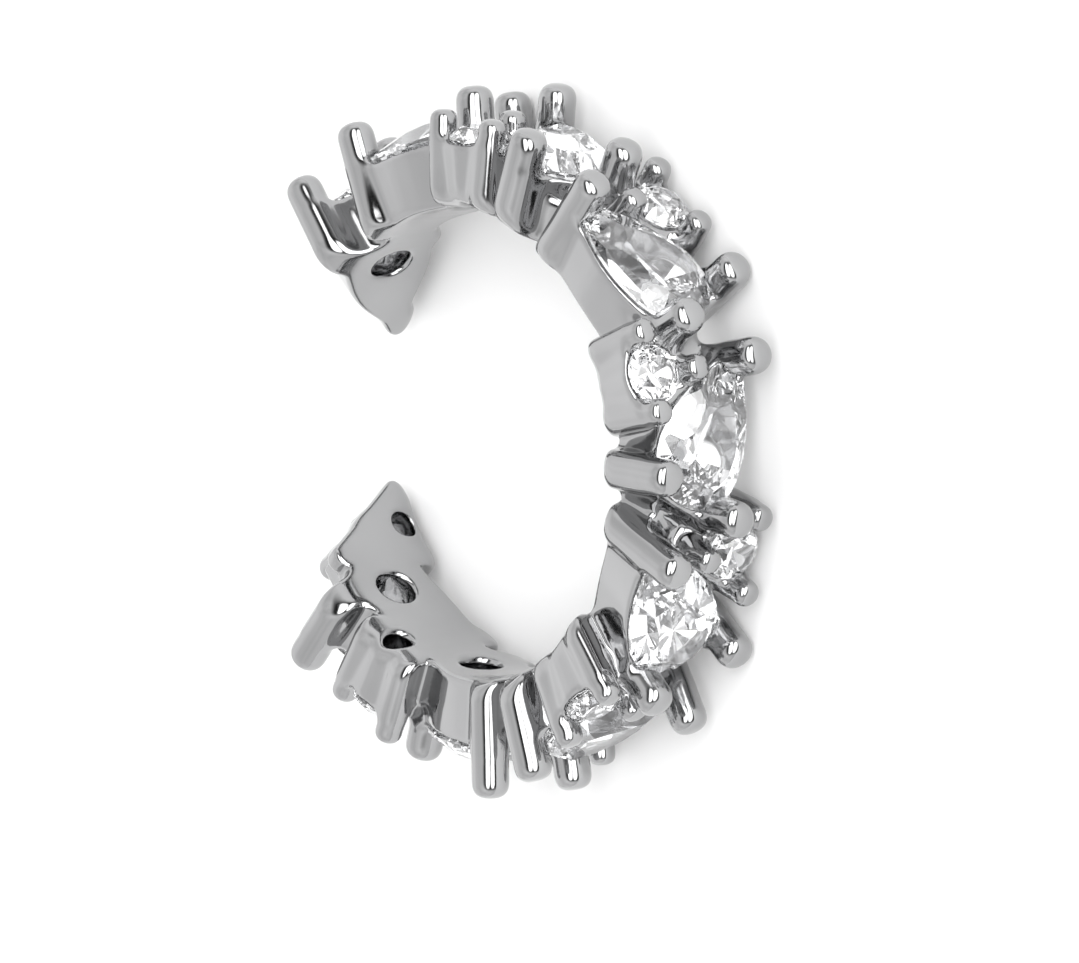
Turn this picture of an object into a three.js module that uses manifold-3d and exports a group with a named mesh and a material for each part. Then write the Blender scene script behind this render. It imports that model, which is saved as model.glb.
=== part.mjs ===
// An open ear cuff, lying on its side. One cast metal body carries pear stones and small round
// stones, each in a three-prong setting. The pears tilt one way and then the other along the ring,
// and a round stone fills the wedge that each pair of them leaves at one rim.
// Millimetres, +Z up. The ring's axis is Z, its front is at -Y and its mouth faces +Y. The origin
// is under the middle of the object, where it rests.
import * as THREE from "three";
import { ConvexGeometry } from "three/addons/geometries/ConvexGeometry.js";
import { mergeVertices } from "three/addons/utils/BufferGeometryUtils.js";
import Module from "manifold-3d";

const rad = THREE.MathUtils.degToRad;

// The ring. Places along it are counted in pitches, one pitch from a pear stone to the next,
// from the pear at the front. Heights are measured outwards from the smooth inner face.
const INNER_R = 5.0; // inner face, at the front
const TIP_LINE = 2.1; // height of the line that the pitch is measured along
const PITCH_DEG = 35; // turn of the ring in one pitch, at the front
const LEAN_DEG = 0.06; // turn lost with the square of the pitches: one arm opens a little more
const FLARE_DEG = 0.13; // turn lost with their cube: both arms straighten towards the mouth
const PITCH = (INNER_R + TIP_LINE) * rad(PITCH_DEG);
const WALK_STEPS = 64; // steps that a place is reached in, from the front
const FACES_PER_PITCH = 5; // flats that stand for the curve of the band and of the inner face

// The plain band behind the settings, in stretches: places in pitches, edges from the mid plane.
const BAND = [
  { from: -4.62, to: 3.0, bottom: -0.88, top: 0.88 },
  { from: 2.9, to: 3.7, bottom: -0.35, top: 0.75 },
];
const BAND_THICKNESS = 1.05;

const STONE_GAP = 0.03; // clearance all round a stone
const PRONG_SPREAD = 0.2; // share of its distance along the ring that a prong leans out by
const PRONG_SWEEP = 0.1; // how far every prong's foot lies along the ring from under its tip
const WALL_TAPER = 0.1; // share by which a wall narrows from its top to the inner face

// A prong's tip, a little flatter than a half ball: shares of its radius out from its axis and up.
const DOME = [
  { out: 1, up: 0.15 },
  { out: 0.78, up: 0.78 },
  { out: 0, up: 1 },
];

const THROUGH = 1.2; // how far cutters and walls run past the inner face
const HOLLOW = { from: -5.5, to: 4.9 }; // places the hollow is cut between, past both ends

// The bevel where the inner face meets each rim. "from" is measured from the mid plane.
const EASED_EDGE = { from: 1.3, height: 0.4, width: 0.5 };

// How finely the round shapes are faceted.
const SIDES = { hole: 10, corner: 8, pearHead: 6, pearFlank: 4 };

// A pear setting. "along" runs from the stone's middle to its point, "across" is at right angles.
const PEAR = {
  first: -4, // pitch of the first stone
  last: 4,
  shift: -0.072, // pitches from the setting's place to the stone's middle
  offset: 0.26, // from the ring's mid plane, towards the rim that the point is near
  tilt: rad(30), // from the ring's direction to the stone's axis
  width: 2.16,
  length: 3.45,
  crown: 0.36,
  girdle: 0.08,
  pavilion: 0.85,
  table: 0.55, // share of the outline
  culet: 0.05,
  keel: { along: 1.1, depth: 0.67 }, // the pavilion's ridge, from the stone's middle to the point
  pointGrowth: 1.5, // how much faster the point moves out than the sides when the outline grows
  hole: 0.44, // radius
  wallTop: 1.42,
  margin: 0.04, // wall outside the girdle
  prongRadius: 0.41,
  prongSides: 8,
  cornerRadius: 0.22, // of the wall, round each prong
};
PEAR.headRadius = PEAR.width / 2;
PEAR.head = PEAR.headRadius - PEAR.length / 2; // centre of the round end, along
PEAR.prongs = [
  { along: 1.75, across: 0, domeHeight: 2.02 }, // height of the domed tip's centre
  { along: -1.57, across: 1.03, domeHeight: 1.95 },
  { along: -1.57, across: -1.03, domeHeight: 1.95 },
];

// A round setting.
const ROUND = {
  first: -5,
  last: 2,
  shift: 0.26,
  offset: 1.03, // from the ring's mid plane to the stone's centre
  radius: 0.625,
  sides: 10,
  crown: 0.22,
  girdle: 0.06,
  pavilion: 0.5,
  table: 0.55,
  culet: 0.05,
  hole: 0.3,
  wallTop: 1.5,
  margin: 0.06,
  prongRadius: 0.3,
  prongSides: 8,
  prongCircle: 0.91, // from the stone's centre to each prong's
  prongAngles: [rad(19), rad(161), rad(270)], // from the ring's direction; the last points inwards
  domeHeight: 1.79,
  cornerRadius: 0.2,
};

// The thin plate that ends the ring behind the first round stone, in that setting's frame.
const END_PLATE = {
  height: 0.45,
  cornerRadius: 0.3,
  corners: [
    { x: -0.75, y: -1.15 },
    { x: 0.75, y: -1.15 },
    { x: 0.62, y: 0.85 },
  ],
};

// Where the lowest prongs' flat sides lie below the ring's mid plane, so that they rest on z = 0.
const lowProng = PEAR.prongs[2];
const HALF_WIDTH =
  PEAR.prongRadius -
  (PEAR.offset + lowProng.along * Math.sin(PEAR.tilt) + lowProng.across * Math.cos(PEAR.tilt));

const metal = () => new THREE.MeshStandardMaterial({ color: 0xb9bbbd, roughness: 0.18, metalness: 1 });
const crystal = () => new THREE.MeshStandardMaterial({ color: 0xf4f6f8, roughness: 0.03, metalness: 0 });

const wasm = await Module();
wasm.setup();

// A closed three.js geometry as a solid that can be joined and cut.
function solid(geometry) {
  const bare = geometry.index ? geometry.toNonIndexed() : geometry.clone();
  bare.deleteAttribute("normal");
  bare.deleteAttribute("uv");
  const merged = mergeVertices(bare, 1e-5);
  return new wasm.Manifold(
    new wasm.Mesh({
      numProp: 3,
      vertProperties: merged.attributes.position.array,
      triVerts: new Uint32Array(merged.index.array),
    }),
  );
}

function geometryOf(made) {
  const mesh = made.getMesh();
  const geometry = new THREE.BufferGeometry();
  geometry.setAttribute("position", new THREE.BufferAttribute(mesh.vertProperties, 3));
  geometry.setIndex(new THREE.BufferAttribute(mesh.triVerts, 1));
  geometry.computeVertexNormals();
  return geometry;
}

// The ring's outward heading at a place, as an angle from the front.
function heading(place) {
  return rad(PITCH_DEG * place - LEAN_DEG * place ** 2 - FLARE_DEG * place ** 3);
}

// A point of the ring at a place and height, by walking along the tip line from the front.
function ringPoint(place, height) {
  const step = (place / WALK_STEPS) * PITCH;
  let x = 0;
  let y = -(INNER_R + TIP_LINE);
  for (let i = 0; i < WALK_STEPS; i++) {
    const turn = heading((place * (i + 0.5)) / WALK_STEPS);
    x += step * Math.cos(turn);
    y += step * Math.sin(turn);
  }
  const turn = heading(place);
  const rise = height - TIP_LINE;
  return new THREE.Vector2(x + rise * Math.sin(turn), y - rise * Math.cos(turn));
}

// A setting's own frame on the inner face: x along the ring, y up, z outwards.
function settingFrame(place) {
  const foot = ringPoint(place, 0);
  const turn = heading(place);
  const along = new THREE.Vector3(Math.cos(turn), Math.sin(turn), 0);
  const outward = new THREE.Vector3(Math.sin(turn), -Math.cos(turn), 0);
  const frame = new THREE.Matrix4().makeBasis(along, new THREE.Vector3(0, 0, 1), outward);
  return frame.setPosition(foot.x, foot.y, 0);
}

// The face of the ring at one height, as points from one place to another.
function ringLine(from, to, height) {
  const count = Math.ceil(Math.abs(to - from) * FACES_PER_PITCH);
  const step = (to - from) / count;
  return Array.from({ length: count + 1 }, (_, i) => ringPoint(from + step * i, height));
}

function extruded(points, depth, bottom) {
  const geometry = new THREE.ExtrudeGeometry(new THREE.Shape(points), { depth, bevelEnabled: false });
  return geometry.translate(0, 0, bottom);
}

// Points on an arc, both ends included.
function arc(cx, cy, radius, start, end, count) {
  return Array.from({ length: count + 1 }, (_, i) => {
    const angle = start + ((end - start) * i) / count;
    return new THREE.Vector2(cx + radius * Math.cos(angle), cy + radius * Math.sin(angle));
  });
}

function circle({ x, y }, radius) {
  return arc(x, y, radius, 0, 2 * Math.PI, SIDES.corner).slice(0, -1);
}

// The pear's outline along its own axis: a half circle, and two larger arcs that meet at the point.
function pearOutline(grow) {
  const r = PEAR.headRadius + grow;
  const reach = PEAR.length - PEAR.headRadius + PEAR.pointGrowth * grow;
  const sideR = (reach ** 2 + r ** 2) / (2 * r);
  const sweep = Math.atan2(reach, sideR - r);
  const quarter = Math.PI / 2;
  const head = arc(PEAR.head, 0, r, quarter, 3 * quarter, SIDES.pearHead);
  const lower = arc(PEAR.head, sideR - r, sideR, -quarter, sweep - quarter, SIDES.pearFlank);
  const upper = arc(PEAR.head, r - sideR, sideR, quarter - sweep, quarter, SIDES.pearFlank);
  return [...head, ...lower.slice(1), ...upper.slice(1, -1)];
}

function roundOutline(grow) {
  return arc(0, 0, ROUND.radius + grow, 0, 2 * Math.PI, ROUND.sides).slice(0, -1);
}

// A cut stone on its girdle plane: flat table, crown, girdle and pointed or ridged pavilion.
function stoneGeometry(kind, outline, middle, grow) {
  const levels = [
    { share: kind.table, height: kind.girdle + kind.crown + grow },
    { share: 1, height: kind.girdle },
    { share: 1, height: 0 },
    { share: kind.culet, height: -kind.pavilion - grow },
  ];
  const points = levels.flatMap(({ share, height }) =>
    outline(grow).map((p) => new THREE.Vector3(middle + (p.x - middle) * share, p.y * share, height)),
  );
  if (kind.keel) points.push(new THREE.Vector3(middle + kind.keel.along, 0, -kind.keel.depth - grow));
  return new ConvexGeometry(points);
}

// The convex outline round a set of points.
function hull(points) {
  const sorted = [...points].sort((a, b) => a.x - b.x || a.y - b.y);
  const turn = (o, a, b) => (a.x - o.x) * (b.y - o.y) - (a.y - o.y) * (b.x - o.x);
  const chain = (list) => {
    const kept = [];
    for (const p of list) {
      while (kept.length > 1 && turn(kept.at(-2), kept.at(-1), p) <= 1e-6) kept.pop();
      kept.push(new THREE.Vector2(p.x, p.y));
    }
    return kept.slice(0, -1);
  };
  return [...chain(sorted), ...chain(sorted.reverse())];
}

// A wall that narrows evenly from its top inwards.
function tapered(geometry, top) {
  const position = geometry.attributes.position;
  for (let i = 0; i < position.count; i++) {
    const share = 1 - WALL_TAPER * (1 - position.getZ(i) / top);
    position.setXY(i, position.getX(i) * share, position.getY(i) * share);
  }
  return geometry;
}

// A prong: a rod from inside the band to its domed tip, with a flat side facing straight down.
function prongSolid(kind, { x, y }, domeHeight) {
  const halfSide = Math.PI / kind.prongSides;
  const r = kind.prongRadius / Math.cos(halfSide);
  const foot = new THREE.Vector3(x * (1 - PRONG_SPREAD) + PRONG_SWEEP, y, 0);
  const tip = new THREE.Vector3(x, y, domeHeight);
  const axis = tip.clone().sub(foot).normalize();
  const side = new THREE.Vector3(axis.z, 0, -axis.x);
  const root = -tip.distanceTo(foot) - THROUGH;
  const profile = [
    new THREE.Vector2(0, root),
    new THREE.Vector2(r, root),
    ...DOME.map(({ out, up }) => new THREE.Vector2(r * out, r * up)),
  ];
  const rod = new THREE.LatheGeometry(profile, kind.prongSides, halfSide);
  const placed = new THREE.Matrix4().makeBasis(side, axis, side.clone().cross(axis));
  return rod.applyMatrix4(placed.setPosition(tip));
}

// All that one setting adds to the body and cuts from it, in the setting's own frame.
function setting(kind, stone, stoneFrame, prongCentres, domeHeights) {
  const turned = (p) => new THREE.Vector3(p.x, p.y, 0).applyMatrix4(stoneFrame);
  const corners = prongCentres.flatMap((centre) => circle(centre, kind.cornerRadius));
  const outline = hull([...stone.outline(kind.margin).map(turned), ...corners]);
  const wall = extruded(outline, kind.wallTop + THROUGH, -THROUGH);
  const hole = new THREE.CylinderGeometry(kind.hole, kind.hole, 2 * THROUGH, SIDES.hole);
  hole.rotateX(Math.PI / 2);
  return {
    adds: [
      tapered(wall, kind.wallTop),
      ...prongCentres.map((centre, i) => prongSolid(kind, centre, domeHeights[i])),
    ],
    cuts: [
      stoneGeometry(kind, stone.outline, stone.middle, STONE_GAP).applyMatrix4(stoneFrame),
      hole.applyMatrix4(new THREE.Matrix4().makeTranslation(turned({ x: stone.middle, y: 0 }))),
    ],
  };
}

const pear = { outline: pearOutline, middle: PEAR.head };
const round = { outline: roundOutline, middle: 0 };

// side is 1 where the pear's point, or the round stone, is at the upper rim, and -1 at the lower.
function pearSetting(side) {
  const frame = new THREE.Matrix4().makeRotationZ(side * PEAR.tilt);
  frame.setPosition(0, side * PEAR.offset, PEAR.wallTop + STONE_GAP);
  const centres = PEAR.prongs.map((p) => new THREE.Vector3(p.along, p.across, 0).applyMatrix4(frame));
  const domes = PEAR.prongs.map((p) => p.domeHeight);
  return { frame, kind: PEAR, stone: pear, ...setting(PEAR, pear, frame, centres, domes) };
}

function roundSetting(side) {
  const frame = new THREE.Matrix4().makeTranslation(0, side * ROUND.offset, ROUND.wallTop + STONE_GAP);
  const centres = ROUND.prongAngles.map(
    (angle) =>
      new THREE.Vector3(
        ROUND.prongCircle * Math.cos(angle),
        side * (ROUND.offset + ROUND.prongCircle * Math.sin(angle)),
        0,
      ),
  );
  const domes = centres.map(() => ROUND.domeHeight);
  return { frame, kind: ROUND, stone: round, ...setting(ROUND, round, frame, centres, domes) };
}

function sideOf(index) {
  return index % 2 === 0 ? -1 : 1;
}

const settings = [];
for (let i = PEAR.first; i <= PEAR.last; i++) {
  const name = "pear_stone_" + (i - PEAR.first + 1);
  settings.push({ name, place: i + PEAR.shift, ...pearSetting(sideOf(i)) });
}
for (let i = ROUND.first; i <= ROUND.last; i++) {
  const name = "round_stone_" + (i - ROUND.first + 1);
  settings.push({ name, place: i + ROUND.shift, ...roundSetting(-sideOf(i)) });
}

function bandStretch({ from, to, bottom, top }) {
  const outer = ringLine(from, to, BAND_THICKNESS);
  const inner = ringLine(to, from, -THROUGH / 2);
  return extruded([...outer, ...inner], top - bottom, bottom);
}

function endPlate() {
  const { corners, cornerRadius, height } = END_PLATE;
  const outline = hull(corners.flatMap((corner) => circle(corner, cornerRadius)));
  const plate = extruded(outline, height + THROUGH / 2, -THROUGH / 2);
  return plate.applyMatrix4(settingFrame(ROUND.first + ROUND.shift));
}

function bodyGeometry() {
  let body = solid(endPlate());
  for (const stretch of BAND) body = body.add(solid(bandStretch(stretch)));
  for (const { place, adds } of settings)
    for (const piece of adds) body = body.add(solid(piece.applyMatrix4(settingFrame(place))));
  for (const { place, cuts } of settings)
    for (const piece of cuts) body = body.subtract(solid(piece.applyMatrix4(settingFrame(place))));
  for (const cutter of hollowCutters()) body = body.subtract(solid(cutter));
  return geometryOf(body);
}

// What the ear goes into: the space inside the ring, flared at both rims.
function hollowCutters() {
  const inside = ringLine(HOLLOW.from, HOLLOW.to, 0);
  const flare = new THREE.ExtrudeGeometry(new THREE.Shape(inside), {
    depth: HALF_WIDTH,
    bevelThickness: EASED_EDGE.width,
    bevelSize: EASED_EDGE.height,
    bevelSegments: 1,
  });
  const bevelEnd = EASED_EDGE.from + EASED_EDGE.width;
  return [
    extruded(inside, 4 * HALF_WIDTH, -2 * HALF_WIDTH),
    flare.clone().translate(0, 0, bevelEnd),
    flare.translate(0, 0, -bevelEnd - HALF_WIDTH),
  ];
}

const cuff = new THREE.Group();
cuff.name = "ear_cuff";
const body = new THREE.Mesh(bodyGeometry(), metal());
body.name = "cuff_body";
cuff.add(body);
for (const { name, place, kind, stone, frame } of settings) {
  const holder = new THREE.Group();
  holder.applyMatrix4(settingFrame(place));
  const mesh = new THREE.Mesh(stoneGeometry(kind, stone.outline, stone.middle, 0), crystal());
  mesh.name = name;
  mesh.applyMatrix4(frame);
  holder.add(mesh);
  cuff.add(holder);
}
const middle = new THREE.Box3().setFromObject(cuff, true).getCenter(new THREE.Vector3());
cuff.position.set(-middle.x, -middle.y, HALF_WIDTH);

export default cuff;
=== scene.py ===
import math

import bmesh
import bpy
import numpy as np
from mathutils import Matrix, Vector


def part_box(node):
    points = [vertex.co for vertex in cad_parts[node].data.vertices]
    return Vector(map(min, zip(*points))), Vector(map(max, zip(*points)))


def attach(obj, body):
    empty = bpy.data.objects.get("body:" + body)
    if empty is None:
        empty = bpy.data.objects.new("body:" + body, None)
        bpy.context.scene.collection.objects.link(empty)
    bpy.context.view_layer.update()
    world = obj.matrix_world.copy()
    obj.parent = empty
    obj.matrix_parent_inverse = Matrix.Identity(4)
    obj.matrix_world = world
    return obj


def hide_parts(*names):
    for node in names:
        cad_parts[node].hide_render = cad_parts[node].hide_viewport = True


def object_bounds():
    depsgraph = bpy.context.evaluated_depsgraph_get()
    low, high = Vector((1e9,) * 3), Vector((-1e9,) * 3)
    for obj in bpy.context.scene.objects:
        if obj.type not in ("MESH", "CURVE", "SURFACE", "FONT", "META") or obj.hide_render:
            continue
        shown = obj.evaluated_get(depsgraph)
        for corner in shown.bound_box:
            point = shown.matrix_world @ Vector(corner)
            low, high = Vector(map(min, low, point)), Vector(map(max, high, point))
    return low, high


# The ear cuff, lying on its side. The metal body is one rounded, polished surface, taken from a distance
# field of the band, walls, prongs, seats and holes. The stones are blocks cut down by a brilliant's planes.
# Then come the studio and the camera.
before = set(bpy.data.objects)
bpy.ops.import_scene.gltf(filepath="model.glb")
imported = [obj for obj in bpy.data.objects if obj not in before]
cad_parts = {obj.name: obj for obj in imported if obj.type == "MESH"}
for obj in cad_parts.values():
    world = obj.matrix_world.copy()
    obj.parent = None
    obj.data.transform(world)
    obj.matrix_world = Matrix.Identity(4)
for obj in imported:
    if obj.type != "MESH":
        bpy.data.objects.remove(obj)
cad_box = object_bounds()

MM = 0.001
rad = math.radians

# ---------------------------------------------------------------- the ring, in millimetres
# Places along it are counted in pitches, one from each pear stone to the next, from the front.
# Heights are measured outwards from the smooth inner face, and "across" from the ring's mid plane.
INNER_R = 5.0  # of the inner face, at the front
PITCH_LINE = 2.1  # height of the line that the pitch is measured along
PITCH = (INNER_R + PITCH_LINE) * rad(35)
PITCH_INSIDE = 0.72 * PITCH  # one pitch as it is on the inner face
PITCH_IN_BAND = 0.8 * PITCH  # and as it is inside the band
THROUGH = 1.2  # how far holes and prongs run past the inner face
STONE_GAP = 0.03
PRONG_SPREAD = 0.2  # share of its distance along the ring that a prong leans out by
PRONG_SWEEP = 0.1  # how far a prong's foot lies along the ring from under its tip
WALL_TAPER = 0.1  # share by which a wall narrows from its top to the inner face
DOME_POWER = 2.8  # of a prong's tip: 2 is a half ball, and more is flatter
BANDS = (  # places from and to, bottom and top
    (-4.62, 3.0, -0.88, 0.88),
    (2.9, 3.7, -0.35, 0.75),
)
BAND_THICKNESS = 1.05
END_PLATE = dict(corners=((-0.75, -1.15), (0.75, -1.15), (0.62, 0.85)), corner_radius=0.3, height=0.45)
EASED_FROM, EASED_SLOPE = 1.3, 0.8  # where the inner face's bevel starts, and its rise per width

# How widely surfaces flow into each other.
BLEND = dict(
    band_edge=0.25, band=0.16, plate=0.15, wall_top=0.18, prong=0.24, setting=0.3,
    seat=0.05, hole=0.22, inner_face=0.14, eased=0.25,
)

# The two kinds of setting. radius, prongs (along, across, height) and circle are the prongs', ridge is the
# longest reach that a pavilion facet takes its slope from, and corner is the wall's radius round a prong.
PEAR = dict(
    shift=-0.072, offset=0.26, tilt=rad(30), head=1.08, length=3.45, wall=1.42, margin=0.04,
    crown=0.36, girdle=0.08, pavilion=0.85, ridge=1.15, hole=0.44, radius=0.41,
    corner=0.22, prongs=((1.75, 0.0, 2.02), (-1.57, 1.03, 1.95), (-1.57, -1.03, 1.95)),
)
ROUND = dict(
    shift=0.26, offset=1.03, head=0.625, wall=1.5, margin=0.06,
    crown=0.22, girdle=0.06, pavilion=0.5, hole=0.3, radius=0.3, circle=0.91, dome=1.79,
    corner=0.2, angles=(rad(19), rad(161), rad(270)),
)
PEAR["middle"] = PEAR["head"] - PEAR["length"] / 2
PEARS = [f"pear_stone_{i}" for i in range(1, 10)]
ROUNDS = [f"round_stone_{i}" for i in range(1, 9)]
FIRST_PEAR, FIRST_ROUND = -4, -5


# ---------------------------------------------------------------- where each setting is
def unit(v):
    return v / np.linalg.norm(v)


def mesh_points(name):
    found = np.empty(len(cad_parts[name].data.vertices) * 3, np.float32)
    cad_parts[name].data.vertices.foreach_get("co", found)
    return found.reshape(-1, 3).astype(float) / MM


def table_normal(name):
    """Outward direction of a stone: the normal of its largest flat face, level with the floor."""
    areas = {}
    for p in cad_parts[name].data.polygons:
        key = tuple(round(c, 2) for c in p.normal)
        total, normal = areas.get(key, (0.0, np.zeros(3)))
        areas[key] = (total + p.area, normal + p.area * np.array(p.normal))
    best = max(areas.values(), key=lambda v: v[0])[1]
    best[2] = 0
    return unit(best)


UP = np.array((0.0, 0.0, 1.0))
middle_boxes = [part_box(name) for name in ("pear_stone_4", "pear_stone_5")]  # one is high, the other low
MID_Z = float(np.mean([corner[2] for box in middle_boxes for corner in box])) / MM


def centre_along(points, axis):
    """The middle of some points' reach along an axis."""
    reach = points @ axis
    return (reach.max() + reach.min()) / 2


def stone_place(name, kind, first, side_sign):
    """A setting's frame on the inner face, with the side that its stone is on."""
    index = int(name.rsplit("_", 1)[1]) - 1 + first
    side = (1 if index % 2 else -1) * side_sign
    out = table_normal(name)
    along = np.cross(UP, out)
    points = mesh_points(name)
    spin = side * kind.get("tilt", 0.0)
    axis = along * math.cos(spin) + UP * math.sin(spin)
    cross = np.cross(out, axis)
    centre = axis * centre_along(points, axis) + cross * centre_along(points, cross)
    rise = kind["wall"] + STONE_GAP + kind["girdle"] + kind["crown"]
    origin = along * (centre @ along) + out * ((points @ out).max() - rise) + UP * MID_Z
    return dict(
        name=name, place=index + kind["shift"], origin=origin, along=along, out=out, side=side, kind=kind
    )


settings = [stone_place(n, PEAR, FIRST_PEAR, 1) for n in PEARS]
settings += [stone_place(n, ROUND, FIRST_ROUND, -1) for n in ROUNDS]


def heading_at(place):
    """The ring's heading there, a cubic through the settings' own headings."""
    return sum(c * place ** (i + 1) for i, c in enumerate(HEADING))


def fit_heading(rough_pitch=rad(33)):
    """The cubic's coefficients. The rough pitch tells which whole turn each heading is in."""
    turns = [math.atan2(s["out"][0], -s["out"][1]) for s in settings]
    places = [s["place"] for s in settings]
    circle = 2 * math.pi
    whole = [t + circle * round((p * rough_pitch - t) / circle) for t, p in zip(turns, places)]
    powers = np.array([[p, p**2, p**3] for p in places])
    return np.linalg.lstsq(powers, np.array(whole), rcond=None)[0]


HEADING = fit_heading()
front = settings[-FIRST_PEAR]
RING_CENTRE = front["origin"] - INNER_R * front["out"]


def ring_samples(start=-5.5, end=4.9, count=2600):
    """Points of the inner face: places, positions, outward directions."""
    fine = np.linspace(start, end, count)
    step = (end - start) / (count - 1) * PITCH
    turn = heading_at(fine)
    middle = heading_at((fine[1:] + fine[:-1]) / 2)
    walk = np.zeros((count, 2))
    walk[1:, 0] = np.cumsum(np.cos(middle)) * step
    walk[1:, 1] = np.cumsum(np.sin(middle)) * step
    at_front = int(np.argmin(np.abs(fine)))
    drift = fine[at_front] * PITCH
    walk -= walk[at_front] - (drift, 0)
    walk += (RING_CENTRE[0], RING_CENTRE[1] - INNER_R - PITCH_LINE)
    outward = np.stack((np.sin(turn), -np.cos(turn)), axis=1)
    return fine, walk - PITCH_LINE * outward, outward


# ---------------------------------------------------------------- the metal, as a distance field
CELL = 0.055
FAR = 0.9  # what the grid starts at, away from any metal
DEEP = -9.0  # below any distance inside an outline
LOW = np.array((-8.1, -8.1, -0.3))
SHAPE = tuple(int(math.ceil(n / CELL)) for n in (16.2, 16.2, 4.3))
WHOLE = (slice(None),) * 3
# The part of the grid that is worked on round a setting: its reach along and across, lowest and highest.
PLATE_WINDOW = (2.6, -0.8, 1.6)
SETTING_WINDOW = (2.9, -1.2, 3.1)
SEAT_WINDOW = (2.4, -1.2, 3.0)
METAL_FACES = 196_000
TINY = 1e-6
SEAT_CROWN, SEAT_PAVILION = 0.45, 0.95  # shares of a stone's outline that its seat's slopes take in


def smooth_min(a, b, blend):
    h = np.clip(0.5 + 0.5 * (b - a) / blend, 0, 1)
    return b + (a - b) * h - blend * h * (1 - h)


def smooth_max(a, b, blend):
    return -smooth_min(-a, -b, blend)


def hull_2d(points):
    """The convex outline round some points, as unit edge normals and their distances."""
    ordered = sorted(map(tuple, points))

    def bend(a, b, c):
        return (b[0] - a[0]) * (c[1] - a[1]) - (b[1] - a[1]) * (c[0] - a[0])

    def chain(row):
        kept = []
        for p in row:
            while len(kept) > 1 and bend(kept[-2], kept[-1], p) <= TINY:
                kept.pop()
            kept.append(p)
        return kept[:-1]

    loop = np.array(chain(ordered) + chain(ordered[::-1]))
    edge = np.roll(loop, -1, axis=0) - loop
    keep = np.linalg.norm(edge, axis=1) > TINY
    edge, loop = edge[keep], loop[keep]
    normal = np.stack((edge[:, 1], -edge[:, 0]), axis=1)
    normal /= np.linalg.norm(normal, axis=1)[:, None]
    return normal, (normal * loop).sum(axis=1)


def circle_points(radius, count):
    turn = np.linspace(0, 2 * math.pi, count, endpoint=False)
    return np.stack((radius * np.cos(turn), radius * np.sin(turn)), axis=1)


def outline(kind, grow, steps=12):
    """A stone's outline in its own plane, grown a little more at a pear's point than at its sides."""
    r = kind["head"] + grow
    if kind is ROUND:
        return circle_points(r, 2 * steps)
    grow_at_point = 1.5 * grow
    reach = kind["length"] - kind["head"] + grow_at_point
    side = (reach**2 + r**2) / (2 * r)
    sweep = math.atan2(reach, side - r)
    head = np.linspace(math.pi / 2, 1.5 * math.pi, steps + 1)
    flank = np.linspace(-math.pi / 2, sweep - math.pi / 2, steps + 1)[1:]
    lower = np.stack((side * np.cos(flank), side - r + side * np.sin(flank)), axis=1)
    upper = lower[::-1][1:] * (1, -1)
    points = np.vstack((np.stack((r * np.cos(head), r * np.sin(head)), axis=1), lower, upper))
    return points + (kind["middle"], 0)


def stone_frame(s):
    """(2x2 turn, offset) that take the stone's own plane into its setting's."""
    kind, side = s["kind"], s["side"]
    angle = side * kind.get("tilt", 0.0)
    turn = np.array(((math.cos(angle), -math.sin(angle)), (math.sin(angle), math.cos(angle))))
    return turn, np.array((0.0, side * kind["offset"]))


def prong_tips(s):
    """(along, across, height) of each domed tip's centre."""
    kind, side = s["kind"], s["side"]
    if kind is PEAR:
        turn, offset = stone_frame(s)
        return [(*(turn @ np.array(p[:2]) + offset), p[2]) for p in kind["prongs"]]
    return [
        (kind["circle"] * math.cos(a), side * (kind["offset"] + kind["circle"] * math.sin(a)), kind["dome"])
        for a in kind["angles"]
    ]


class Field:
    """Distances to a surface on a grid, in millimetres, negative inside."""

    def __init__(self):
        self.values = np.full(SHAPE, FAR, np.float32)

    def window(self, low, high):
        a = np.clip(np.floor((low - LOW) / CELL).astype(int), 0, np.array(SHAPE) - 2)
        b = np.clip(np.ceil((high - LOW) / CELL).astype(int) + 1, a + 1, SHAPE)
        box = tuple(slice(i, j) for i, j in zip(a, b))
        grid = [((LOW[i] + CELL * np.arange(a[i], b[i])).astype(np.float32)) for i in range(3)]
        return box, np.meshgrid(*grid, indexing="ij")

    def join(self, box, other, blend):
        self.values[box] = smooth_min(self.values[box], other, blend)

    def cut(self, box, other, blend):
        self.values[box] = smooth_max(self.values[box], -other, blend)


def local(s, grid):
    """Grid points in a setting's frame: along the ring, across it, and up from the inner face."""
    x, y, z = (g - o for g, o in zip(grid, s["origin"].astype(np.float32)))
    return x * s["along"][0] + y * s["along"][1], z, x * s["out"][0] + y * s["out"][1]


def around(s, reach, low, high):
    """The corners of a box round a setting: reach both ways along and across, low to high outwards."""
    corners = [
        s["origin"] + s["along"] * a + UP * b + s["out"] * c
        for a in (-reach, reach)
        for b in (-reach, reach)
        for c in (low, high)
    ]
    return np.min(corners, axis=0), np.max(corners, axis=0)


def prism(u, v, w, points, taper, top, blend):
    """A wall: the outline round some points, narrower towards the inner face, with a rounded top edge."""
    share = 1 - taper * (1 - w / top)
    inside = np.full(u.shape, DEEP, np.float32)
    for (nx, ny), reach in zip(*hull_2d(points)):
        np.maximum(inside, (u * nx + v * ny) / share - reach, out=inside)
    return smooth_max(inside, w - top, blend)


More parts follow.
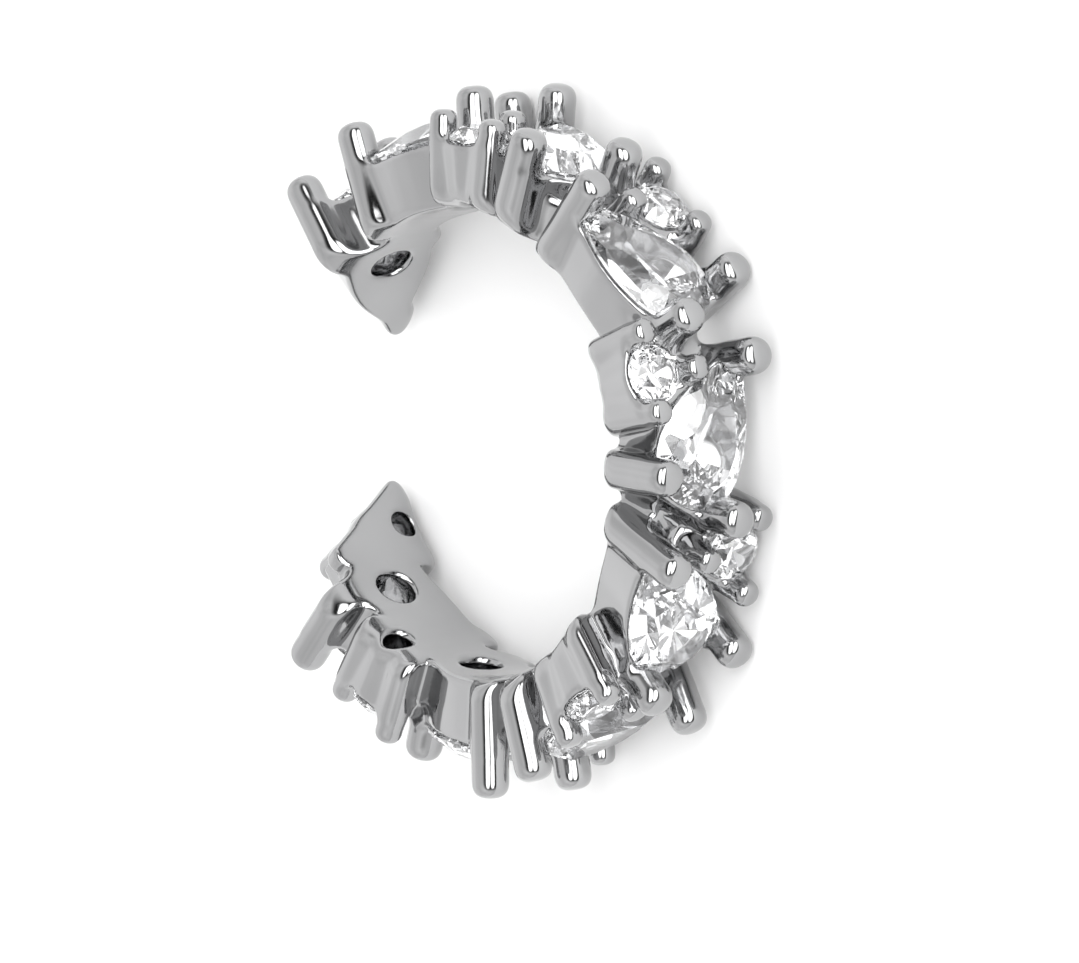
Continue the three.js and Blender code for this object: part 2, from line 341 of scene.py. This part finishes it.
def rod(u, v, w, foot, tip, radius):
    """A round rod that ends in a dome a little flatter than a half ball, and runs on below its foot."""
    axis = tip - foot
    length = np.linalg.norm(axis)
    axis = axis / length
    du, dv, dw = u - foot[0], v - foot[1], w - foot[2]
    t = du * axis[0] + dv * axis[1] + dw * axis[2]
    off = np.sqrt((du - t * axis[0]) ** 2 + (dv - t * axis[1]) ** 2 + (dw - t * axis[2]) ** 2)
    past = np.maximum(t - length, 0)
    dome = (off**DOME_POWER + past**DOME_POWER) ** (1 / DOME_POWER)
    return np.maximum(dome - radius, -THROUGH - t)


def ring_coordinates():
    """Each column of the grid's height over the inner face and its place, and each layer's own height."""
    places, inner, outward = ring_samples()
    xs = LOW[0] + CELL * np.arange(SHAPE[0])
    ys = LOW[1] + CELL * np.arange(SHAPE[1])
    plan = np.stack(np.meshgrid(xs, ys, indexing="ij"), axis=-1).reshape(-1, 2)
    nearest = np.empty(len(plan), int)
    batch, stride = 4000, 4
    for i in range(0, len(plan), batch):
        part = plan[i : i + batch]
        gap = part[:, None] - inner[None, ::stride]
        nearest[i : i + batch] = stride * (gap[..., 0] ** 2 + gap[..., 1] ** 2).argmin(axis=1)
    off = plan - inner[nearest]
    height = (off * outward[nearest]).sum(axis=1)
    tangent = np.stack((-outward[nearest][:, 1], outward[nearest][:, 0]), axis=1)
    place = places[nearest] + (off * tangent).sum(axis=1) / PITCH_INSIDE
    height = height.reshape(SHAPE[:2]).astype(np.float32)[:, :, None]
    place = place.reshape(SHAPE[:2]).astype(np.float32)[:, :, None]
    z = (LOW[2] + CELL * np.arange(SHAPE[2]) - MID_Z).astype(np.float32)[None, None, :]
    return height, place, z


def add_bands(field, height, place, z):
    for start, end, bottom, top in BANDS:
        ends = np.maximum(start - place, place - end) * PITCH_IN_BAND
        edges = np.maximum(bottom - z, z - top)
        flat = smooth_max(height - BAND_THICKNESS, edges, BLEND["band_edge"])
        field.join(WHOLE, np.maximum(flat, ends), BLEND["band"])


def add_end_plate(field):
    """The thin three-cornered plate behind the first round stone."""
    s = settings[len(PEARS)]
    box, grid = field.window(*around(s, *PLATE_WINDOW))
    corners = np.array(END_PLATE["corners"])
    disc = circle_points(END_PLATE["corner_radius"], 16)
    points = (corners[:, None] + disc[None]).reshape(-1, 2)
    made = prism(*local(s, grid), points, 0.0, END_PLATE["height"], BLEND["plate"])
    field.join(box, made, BLEND["plate"])


def add_setting(field, s):
    """The wall under a stone, and its three prongs."""
    kind = s["kind"]
    box, grid = field.window(*around(s, *SETTING_WINDOW))
    u, v, w = local(s, grid)
    tips = prong_tips(s)
    turn, offset = stone_frame(s)
    corner = circle_points(kind["corner"], 12)
    loop = [outline(kind, kind["margin"]) @ turn.T + offset]
    loop += [corner + np.array(t[:2]) for t in tips]
    made = prism(u, v, w, np.vstack(loop), WALL_TAPER, kind["wall"], BLEND["wall_top"])
    for along, across, top in tips:
        foot = np.array((along * (1 - PRONG_SPREAD) + PRONG_SWEEP, across, 0.0))
        prong = rod(u, v, w, foot, np.array((along, across, top)), kind["radius"])
        made = smooth_min(made, prong, BLEND["prong"])
    field.join(box, made, BLEND["setting"])


def cut_seat(field, s):
    """The seat that a stone lies in, and the hole behind it."""
    kind = s["kind"]
    turn, offset = stone_frame(s)
    box, grid = field.window(*around(s, *SEAT_WINDOW))
    u, v, w = local(s, grid)
    u, v = u - offset[0], v - offset[1]
    u, v = u * turn[0, 0] + v * turn[1, 0], u * turn[0, 1] + v * turn[1, 1]
    w = w - kind["wall"] - STONE_GAP
    seat = np.full(u.shape, DEEP, np.float32)
    middle = kind.get("middle", 0.0)
    for (nx, ny), reach in zip(*hull_2d(outline(kind, 0.0, steps=8))):
        span = reach - nx * middle
        away = (u - middle) * nx + v * ny - span
        np.maximum(seat, away, out=seat)
        slope = SEAT_CROWN * span / kind["crown"]
        np.maximum(seat, (away + (w - kind["girdle"]) * slope) / math.hypot(1, slope), out=seat)
        slope = SEAT_PAVILION * min(span, kind.get("ridge", span)) / kind["pavilion"]
        np.maximum(seat, (away - w * slope) / math.hypot(1, slope), out=seat)
    np.maximum(seat, w - kind["girdle"] - kind["crown"], out=seat)
    field.cut(box, seat - STONE_GAP, BLEND["seat"])
    bore = np.sqrt((u - middle) ** 2 + v**2) - kind["hole"]
    field.cut(box, np.maximum(bore, np.abs(w + kind["wall"]) - THROUGH), BLEND["hole"])


def metal_field():
    field = Field()
    height, place, z = ring_coordinates()
    add_bands(field, height, place, z)
    add_end_plate(field)
    for s in settings:
        add_setting(field, s)
    for s in settings:
        cut_seat(field, s)
    field.cut(WHOLE, height + 0 * z, BLEND["inner_face"])
    eased = (height + EASED_SLOPE * (EASED_FROM - np.abs(z))) / math.hypot(1, EASED_SLOPE)
    field.cut(WHOLE, eased, BLEND["eased"])
    return field.values


# ---------------------------------------------------------------- from the field to a mesh
NUDGE = 1e-3
FLATTEST = 0.15  # least squared slope that the way to the surface is worked out from


def unambiguous(values, rounds=12):
    """Nudges the grid so that no square of it has its inside corners across a diagonal only.

    The surface would touch itself there.
    """
    values = values.copy()
    for _ in range(rounds):
        changed = 0
        for a, b in ((0, 1), (0, 2), (1, 2)):
            corners = []
            for i, j in ((0, 0), (1, 0), (1, 1), (0, 1)):
                part = [slice(None)] * 3
                part[a] = slice(i, values.shape[a] - 1 + i)
                part[b] = slice(j, values.shape[b] - 1 + j)
                corners.append((tuple(part), (i, j)))
            signs = [values[part] < 0 for part, _ in corners]
            crossed = (signs[0] == signs[2]) & (signs[1] == signs[3]) & (signs[0] != signs[1])
            bad = np.argwhere(crossed)
            changed += len(bad)
            if not len(bad):
                continue
            nodes = []
            for _, (i, j) in corners:
                node = bad.copy()
                node[:, a] += i
                node[:, b] += j
                nodes.append(node)
            nodes = np.stack(nodes)
            sizes = np.abs(values[nodes[..., 0], nodes[..., 1], nodes[..., 2]])
            pick = nodes[sizes.argmin(axis=0), np.arange(len(bad))]
            at = tuple(np.unique(pick, axis=0).T)
            values[at] = np.where(values[at] < 0, NUDGE, -NUDGE)
        if not changed:
            break
    return values


def sampled(values, points):
    """Values of a grid at points, by trilinear interpolation. values may hold vectors."""
    g = (points - LOW) / CELL
    base = np.clip(np.floor(g).astype(int), 0, np.array(values.shape[:3]) - 2)
    f = g - base
    total = 0.0
    for dx in (0, 1):
        for dy in (0, 1):
            for dz in (0, 1):
                share = (
                    (f[:, 0] if dx else 1 - f[:, 0])
                    * (f[:, 1] if dy else 1 - f[:, 1])
                    * (f[:, 2] if dz else 1 - f[:, 2])
                )
                found = values[base[:, 0] + dx, base[:, 1] + dy, base[:, 2] + dz]
                total = total + (share[:, None] if found.ndim > 1 else share) * found
    return total


def surface_net(values):
    """Vertices and quads of the zero surface, the quads facing out."""
    cells = np.array(values.shape) - 1
    inside = values < 0
    strides = np.array((cells[1] * cells[2], cells[2], 1))
    ids, sums, faces = [], [], []
    for axis in range(3):
        a = [slice(None)] * 3
        b = [slice(None)] * 3
        a[axis], b[axis] = slice(0, -1), slice(1, None)
        crossed = np.argwhere(inside[tuple(a)] != inside[tuple(b)])
        others = [i for i in range(3) if i != axis]
        crossed = crossed[(crossed[:, others] > 0).all(axis=1)]
        crossed = crossed[(crossed[:, others] < cells[others]).all(axis=1)]
        after = crossed.copy()
        after[:, axis] += 1
        va, vb = values[tuple(crossed.T)], values[tuple(after.T)]
        where = crossed.astype(float)
        where[:, axis] += va / (va - vb)
        ring = []
        for i, j in ((0, 0), (1, 0), (1, 1), (0, 1)):
            cell = crossed.copy()
            cell[:, others[0]] -= i
            cell[:, others[1]] -= j
            ring.append(cell @ strides)
            ids.append(ring[-1])
            sums.append(where)
        quad = np.stack(ring, axis=1)
        flip = (va >= 0) ^ (axis == 1)
        quad[flip] = quad[flip][:, ::-1]
        faces.append(quad)
    ids, sums, faces = np.concatenate(ids), np.concatenate(sums), np.concatenate(faces)
    used, inverse = np.unique(ids, return_inverse=True)
    count = np.bincount(inverse)
    verts = np.stack([np.bincount(inverse, sums[:, i]) / count for i in range(3)], axis=1)
    return LOW + CELL * verts, np.searchsorted(used, faces)


def relaxed(verts, quads, values, slopes, rounds=6):
    """Evens the vertices out along the surface, keeping them on it."""
    edges = np.concatenate([quads[:, [i, (i + 1) % 4]] for i in range(4)])
    count = len(verts)

    def gathered(values_at):
        """The sum over each vertex's neighbours, counting an edge once for each face beside it."""
        ahead = np.bincount(edges[:, 0], values_at[edges[:, 1]], count)
        return ahead + np.bincount(edges[:, 1], values_at[edges[:, 0]], count)

    degree = gathered(np.ones(count))
    longest_move = 0.5 * CELL
    for step in range(rounds):
        if step < rounds - 2:
            pull = np.stack([gathered(verts[:, i]) for i in range(3)], axis=1)
            verts = verts + 0.5 * (pull / degree[:, None] - verts)
        slope = sampled(slopes, verts)
        size = np.maximum((slope**2).sum(axis=1), FLATTEST)
        move = slope * (sampled(values, verts) / size)[:, None]
        verts = verts - np.clip(move, -longest_move, longest_move)
    return verts


def thinned(mesh, faces):
    """The mesh with its flattest triangles merged, down to a number of them."""
    carrier = bpy.data.objects.new("carrier", mesh)
    bpy.context.scene.collection.objects.link(carrier)
    modifier = carrier.modifiers.new("thin", "DECIMATE")
    modifier.ratio = faces / (2 * len(mesh.polygons))
    modifier.use_collapse_triangulate = True
    bpy.context.view_layer.update()
    graph = bpy.context.evaluated_depsgraph_get()
    made = bpy.data.meshes.new_from_object(carrier.evaluated_get(graph))
    bpy.data.objects.remove(carrier)
    bpy.data.meshes.remove(mesh)
    return made


def body_mesh():
    values = metal_field()
    slopes = np.stack(np.gradient(values, CELL), axis=-1).astype(np.float32)
    verts, quads = surface_net(unambiguous(values))
    verts = relaxed(verts, quads, values, slopes)
    full = bpy.data.meshes.new("metal_full")
    full.from_pydata(verts.tolist(), [], quads.tolist())
    mesh = thinned(full, METAL_FACES)
    mesh.name = "metal_body"
    found = np.empty(len(mesh.vertices) * 3, np.float32)
    mesh.vertices.foreach_get("co", found)
    normals = sampled(slopes, found.reshape(-1, 3))
    normals /= np.maximum(np.linalg.norm(normals, axis=1), 1e-9)[:, None]
    mesh.transform(Matrix.Scale(MM, 4))
    mesh.polygons.foreach_set("use_smooth", np.ones(len(mesh.polygons), bool))
    mesh.normals_split_custom_set_from_vertices(normals.tolist())
    mesh.update()
    return mesh


# ---------------------------------------------------------------- the stones
# Facets are counted round the stone, in degrees from its point: the mains, the halves beside the girdle,
# which shape it, and the stars beside the table. A pear's are the same on both sides.
PEAR_MAINS = (47, 76, 104, 132, 160)
PEAR_HALVES = (43, 58, 68, 84, 97, 112, 124, 140, 152, 170)
PEAR_STARS = (30, 61, 90, 118, 146, 172)
ROUND_FACETS = 8
BLOCK = 8.0  # side of the cube that a stone is cut from
ON_PLANE, SAME_POINT = 1e-5, 2e-4
TABLE_IN = 0.43  # share of the outline that the crown's mains move in by, up to the table
CROWN_HALF = 0.62  # a half facet's slope over a main's, on the crown
STAR, STAR_EDGE = 1.75, 0.965  # a star's slope over a main's, and the share of the table it leaves
PAVILION_MAIN, PAVILION_HALF = 0.97, 0.72  # shares of the outline taken in, down to the culet's level


def facet_angles(kind):
    """The directions of the mains, halves and stars."""
    if kind is PEAR:
        rows = (PEAR_MAINS, PEAR_HALVES, PEAR_STARS)
        mains, halves, stars = ([side * a for a in row for side in (1, -1)] for row in rows)
        return mains + [180], halves, stars
    step = 360 / ROUND_FACETS
    mains = [step * i for i in range(ROUND_FACETS)]
    halves = [main + side * step / 4 for main in mains for side in (1, -1)]
    return mains, halves, [main + step / 2 for main in mains]


def facet_planes(kind):
    """A brilliant cut as planes (normal, distance) in the stone's frame, the girdle's foot at height 0."""
    loop = outline(kind, 0.0, steps=40)
    middle = kind.get("middle", 0.0)
    mains, halves, stars = facet_angles(kind)
    girdle, crown, pavilion = kind["girdle"], kind["crown"], kind["pavilion"]
    top = girdle + crown
    ridge = kind.get("ridge", kind["head"])
    planes = [((0, 0, 1), top)]

    def direction(angle):
        return np.array((math.cos(rad(angle)), math.sin(rad(angle))))

    def span(angle):
        """How far the outline reaches from the stone's middle."""
        return ((loop - (middle, 0)) @ direction(angle)).max()

    def slanted(angle, level, reach, slope):
        """Adds the plane that is reach from the middle at a level, and moves in by slope per height."""
        x, y = direction(angle)
        size = math.hypot(1, slope)
        distance = (reach + level * slope + x * middle) / size
        planes.append(((x / size, y / size, slope / size), distance))

    for angle in mains:
        s = span(angle)
        slanted(angle, girdle, s, TABLE_IN * s / crown)
        slanted(angle, 0, s, -PAVILION_MAIN * min(s, ridge) / pavilion)
    for angle in halves:
        s = span(angle)
        slanted(angle, girdle, s, CROWN_HALF * TABLE_IN * s / crown)
        slanted(angle, 0, s, -PAVILION_HALF * min(s, ridge) / pavilion)
        slanted(angle, 0, s, 0)
    for angle in stars:
        s = span(angle)
        slanted(angle, top, (1 - TABLE_IN) * s * STAR_EDGE, STAR * TABLE_IN * s / crown)
    return planes


def cut_stone(kind, name):
    """A block cut down by a brilliant's planes."""
    made = bmesh.new()
    bmesh.ops.create_cube(made, size=BLOCK)
    for normal, distance in facet_planes(kind):
        normal = Vector(normal)
        parts = made.verts[:] + made.edges[:] + made.faces[:]
        cut = bmesh.ops.bisect_plane(
            made, geom=parts, dist=ON_PLANE, plane_co=normal * distance, plane_no=normal, clear_outer=True
        )
        rim = [e for e in cut["geom_cut"] if isinstance(e, bmesh.types.BMEdge)]
        if rim:
            bmesh.ops.contextual_create(made, geom=rim)
    bmesh.ops.remove_doubles(made, verts=made.verts, dist=SAME_POINT)
    bmesh.ops.recalc_face_normals(made, faces=made.faces)
    mesh = bpy.data.meshes.new(name)
    made.to_mesh(mesh)
    made.free()
    return mesh


def stone_matrix(s):
    """Takes a stone from its own frame, in millimetres, to its place on the ring, in metres."""
    kind = s["kind"]
    turn, offset = stone_frame(s)
    along, out = s["along"], s["out"]
    x = along * turn[0, 0] + UP * turn[1, 0]
    y = along * turn[0, 1] + UP * turn[1, 1]
    at = s["origin"] + along * offset[0] + UP * offset[1] + out * (kind["wall"] + STONE_GAP)
    rows = np.stack((x, y, out, at), axis=1) * MM
    return Matrix([*rows.tolist(), (0, 0, 0, 1)])


# ---------------------------------------------------------------- materials
METAL_DARK, METAL_LIGHT = (0.34, 0.341, 0.345), (0.385, 0.386, 0.39)
FLOOR_DARK, FLOOR_LIGHT = (0.91, 0.91, 0.91), (0.93, 0.93, 0.93)


def node_material(name):
    made = bpy.data.materials.new(name)
    made.use_nodes = True
    nodes, links = made.node_tree.nodes, made.node_tree.links
    shader = nodes["Principled BSDF"]
    place = nodes.new("ShaderNodeTexCoord")
    return made, nodes, links, shader, place


def noise(nodes, links, place, scale, detail, rough=0.5):
    made = nodes.new("ShaderNodeTexNoise")
    made.inputs["Scale"].default_value = scale
    made.inputs["Detail"].default_value = detail
    made.inputs["Roughness"].default_value = rough
    links.new(place.outputs["Object"], made.inputs["Vector"])
    return made


def ranged(nodes, links, source, low, high):
    """The values that noise mostly takes, spread from low to high."""
    made = nodes.new("ShaderNodeMapRange")
    made.inputs["From Min"].default_value, made.inputs["From Max"].default_value = 0.3, 0.7
    made.inputs["To Min"].default_value, made.inputs["To Max"].default_value = low, high
    links.new(source, made.inputs["Value"])
    return made.outputs["Result"]


def mottled(nodes, links, place, scale, detail, dark, light):
    """A colour that drifts between two, in soft clouds."""
    tint = nodes.new("ShaderNodeMix")
    tint.data_type = "RGBA"
    tint.inputs["A"].default_value = (*dark, 1)
    tint.inputs["B"].default_value = (*light, 1)
    clouds = noise(nodes, links, place, scale, detail)
    links.new(ranged(nodes, links, clouds.outputs["Fac"], 0, 1), tint.inputs["Factor"])
    return tint.outputs["Result"]


def silver():
    """Rhodium-plated silver, with faint clouds left by polishing and a cast surface's slight swell."""
    made, nodes, links, shader, place = node_material("polished_silver")
    shader.inputs["Metallic"].default_value = 1.0
    clouds = noise(nodes, links, place, 900, 3)
    links.new(ranged(nodes, links, clouds.outputs["Fac"], 0.08, 0.125), shader.inputs["Roughness"])
    tint = mottled(nodes, links, place, 350, 2, METAL_DARK, METAL_LIGHT)
    links.new(tint, shader.inputs["Base Color"])
    bump = nodes.new("ShaderNodeBump")
    bump.inputs["Strength"].default_value = 0.06
    bump.inputs["Distance"].default_value = 0.00002
    links.new(noise(nodes, links, place, 1600, 3).outputs["Fac"], bump.inputs["Height"])
    links.new(bump.outputs["Normal"], shader.inputs["Normal"])
    return made


def crystal():
    """Clear zirconia, with a trace of unevenness left by the wheel on its facets."""
    made, nodes, links, shader, place = node_material("clear_crystal")
    shader.inputs["Base Color"].default_value = (0.985, 0.99, 1.0, 1)
    shader.inputs["Transmission Weight"].default_value = 1.0
    shader.inputs["IOR"].default_value = 2.2
    haze = noise(nodes, links, place, 1400, 2)
    links.new(ranged(nodes, links, haze.outputs["Fac"], 0.0, 0.015), shader.inputs["Roughness"])
    return made


def floor_material():
    made, nodes, links, shader, place = node_material("pale_floor")
    tint = mottled(nodes, links, place, 40, 3, FLOOR_DARK, FLOOR_LIGHT)
    links.new(tint, shader.inputs["Base Color"])
    shader.inputs["Roughness"].default_value = 0.7
    shader.inputs["Specular IOR Level"].default_value = 0.2
    return made


# ---------------------------------------------------------------- the pieces
def piece(name, mesh, material, nodes):
    made = bpy.data.objects.new(name, mesh)
    bpy.context.scene.collection.objects.link(made)
    mesh.materials.append(material)
    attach(made, "root")
    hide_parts(*nodes)
    return made


piece("metal_body", body_mesh(), silver(), ["cuff_body"])
clear = crystal()
PEAR["cut"] = cut_stone(PEAR, "pear_cut")
ROUND["cut"] = cut_stone(ROUND, "round_cut")
for s in settings:
    mesh = s["kind"]["cut"].copy()
    mesh.transform(stone_matrix(s))
    piece(s["name"].replace("stone", "gem"), mesh, clear, [s["name"]])
bpy.data.meshes.remove(PEAR["cut"])
bpy.data.meshes.remove(ROUND["cut"])

# ---------------------------------------------------------------- the studio
# The camera's directions, with its distance and the aim's shifts in millimetres.
TO_CAMERA = Vector((0.0, -0.7985, 0.6020)).normalized()
IMAGE_RIGHT = Vector((-0.1068, -0.5986, -0.7940)).normalized()
IMAGE_UP = TO_CAMERA.cross(IMAGE_RIGHT).normalized()
DISTANCE, LENS = 232.9, 359.8
SHIFT_RIGHT, SHIFT_UP = 0.550, -0.902
FLOOR_REACH, FLOOR_GAP = 1.5, 0.00002  # metres

# The surround's level, and each card in front of it: (right, up, half width, half height, softness of its
# edge, squareness, level, level as the stones gather it). A card is placed by the tangent of half its angle
# from the line to the camera.
SURROUND, SURROUND_IN_STONES = 1.22, 1.45
CARDS = (
    (0.02, 0.10, 0.43, 0.49, 0.2, 3.0, 0.02, 0.5),
    (-0.13, 0.09, 0.116, 0.39, 0.12, 2.6, 4.4, 2.8),
    (0.13, 0.09, 0.114, 0.38, 0.12, 2.6, 4.4, 2.8),
)
CLOUD_LOW, CLOUD_HIGH = 0.84, 1.16  # how far soft clouds dim and lift the surround

floor_mesh = bpy.data.meshes.new("floor")
corners = [(x * FLOOR_REACH, y * FLOOR_REACH, 0) for x, y in ((-1, -1), (1, -1), (1, 1), (-1, 1))]
floor_mesh.from_pydata(corners, [], [(0, 1, 2, 3)])
floor = bpy.data.objects.new("floor", floor_mesh)
floor_mesh.materials.append(floor_material())
bpy.context.scene.collection.objects.link(floor)
floor.location.z = cad_box[0][2] - FLOOR_GAP


def studio_world():
    """A pale surround, with one large dark card and two tall bright ones in front of the object."""
    world = bpy.data.worlds.new("studio")
    bpy.context.scene.world = world
    world.use_nodes = True
    nodes, links = world.node_tree.nodes, world.node_tree.links
    nodes.clear()
    place = nodes.new("ShaderNodeTexCoord")

    def math_node(kind, a, b=None, c=None):
        made = nodes.new("ShaderNodeMath")
        made.operation = kind
        for i, value in enumerate((a, b, c)):
            if value is None:
                continue
            if isinstance(value, (int, float)):
                made.inputs[i].default_value = value
            else:
                links.new(value, made.inputs[i])
        return made.outputs[0]

    def along(direction):
        made = nodes.new("ShaderNodeVectorMath")
        made.operation = "DOT_PRODUCT"
        made.inputs[1].default_value = direction
        links.new(place.outputs["Generated"], made.inputs[0])
        return made.outputs["Value"]

    def step(value, low, high):
        made = nodes.new("ShaderNodeMapRange")
        made.interpolation_type = "SMOOTHSTEP"
        made.inputs["From Min"].default_value, made.inputs["From Max"].default_value = low, high
        links.new(value, made.inputs["Value"])
        return made.outputs["Result"]

    toward = along(TO_CAMERA)
    ahead = math_node("ADD", toward, 1.0)
    right = math_node("DIVIDE", along(IMAGE_RIGHT), ahead)
    up = math_node("DIVIDE", along(IMAGE_UP), ahead)
    facing = step(toward, -0.2, 0.0)
    seen = nodes.new("ShaderNodeLightPath")
    gathered = seen.outputs["Is Transmission Ray"]
    light = math_node("MULTIPLY_ADD", gathered, SURROUND_IN_STONES - SURROUND, SURROUND)
    clouds = nodes.new("ShaderNodeTexNoise")
    clouds.inputs["Scale"].default_value, clouds.inputs["Detail"].default_value = 1.6, 1.0
    links.new(place.outputs["Generated"], clouds.inputs["Vector"])
    drift = ranged(nodes, links, clouds.outputs["Fac"], CLOUD_LOW, CLOUD_HIGH)
    light = math_node("MULTIPLY", light, drift)
    for x, y, half_x, half_y, soft, power, level, in_stones in CARDS:
        level = math_node("MULTIPLY_ADD", gathered, in_stones - level, level)
        dx = math_node("DIVIDE", math_node("ABSOLUTE", math_node("SUBTRACT", right, x)), half_x)
        dy = math_node("DIVIDE", math_node("ABSOLUTE", math_node("SUBTRACT", up, y)), half_y)
        away = math_node("ADD", math_node("POWER", dx, power), math_node("POWER", dy, power))
        away = math_node("POWER", away, 1 / power)
        mask = math_node("MULTIPLY", step(away, 1 + soft, 1 - soft), facing)
        change = math_node("SUBTRACT", level, light)
        light = math_node("MULTIPLY_ADD", mask, change, light)
    mix = nodes.new("ShaderNodeMix")
    links.new(seen.outputs["Is Camera Ray"], mix.inputs["Factor"])
    links.new(light, mix.inputs["A"])
    mix.inputs["B"].default_value = 1.0
    ground = nodes.new("ShaderNodeBackground")
    ground.inputs["Color"].default_value = (1, 1, 1, 1)
    links.new(mix.outputs["Result"], ground.inputs["Strength"])
    out = nodes.new("ShaderNodeOutputWorld")
    links.new(ground.outputs["Background"], out.inputs["Surface"])


studio_world()

camera = bpy.data.objects.new("camera", bpy.data.cameras.new("camera"))
bpy.context.scene.collection.objects.link(camera)
camera.data.sensor_width = 36
camera.data.lens = LENS
camera.data.clip_start, camera.data.clip_end = 0.01, 10
target = Vector((RING_CENTRE[0], RING_CENTRE[1], MID_Z)) + SHIFT_RIGHT * IMAGE_RIGHT + SHIFT_UP * IMAGE_UP
turn = Matrix((IMAGE_RIGHT, IMAGE_UP, TO_CAMERA)).transposed()
camera.matrix_world = Matrix.Translation((target + DISTANCE * TO_CAMERA) * MM) @ turn.to_4x4()
bpy.context.scene.camera = camera
bpy.context.scene.view_settings.view_transform = "Standard"
paths = bpy.context.scene.cycles
paths.max_bounces, paths.glossy_bounces, paths.transmission_bounces = 20, 16, 16
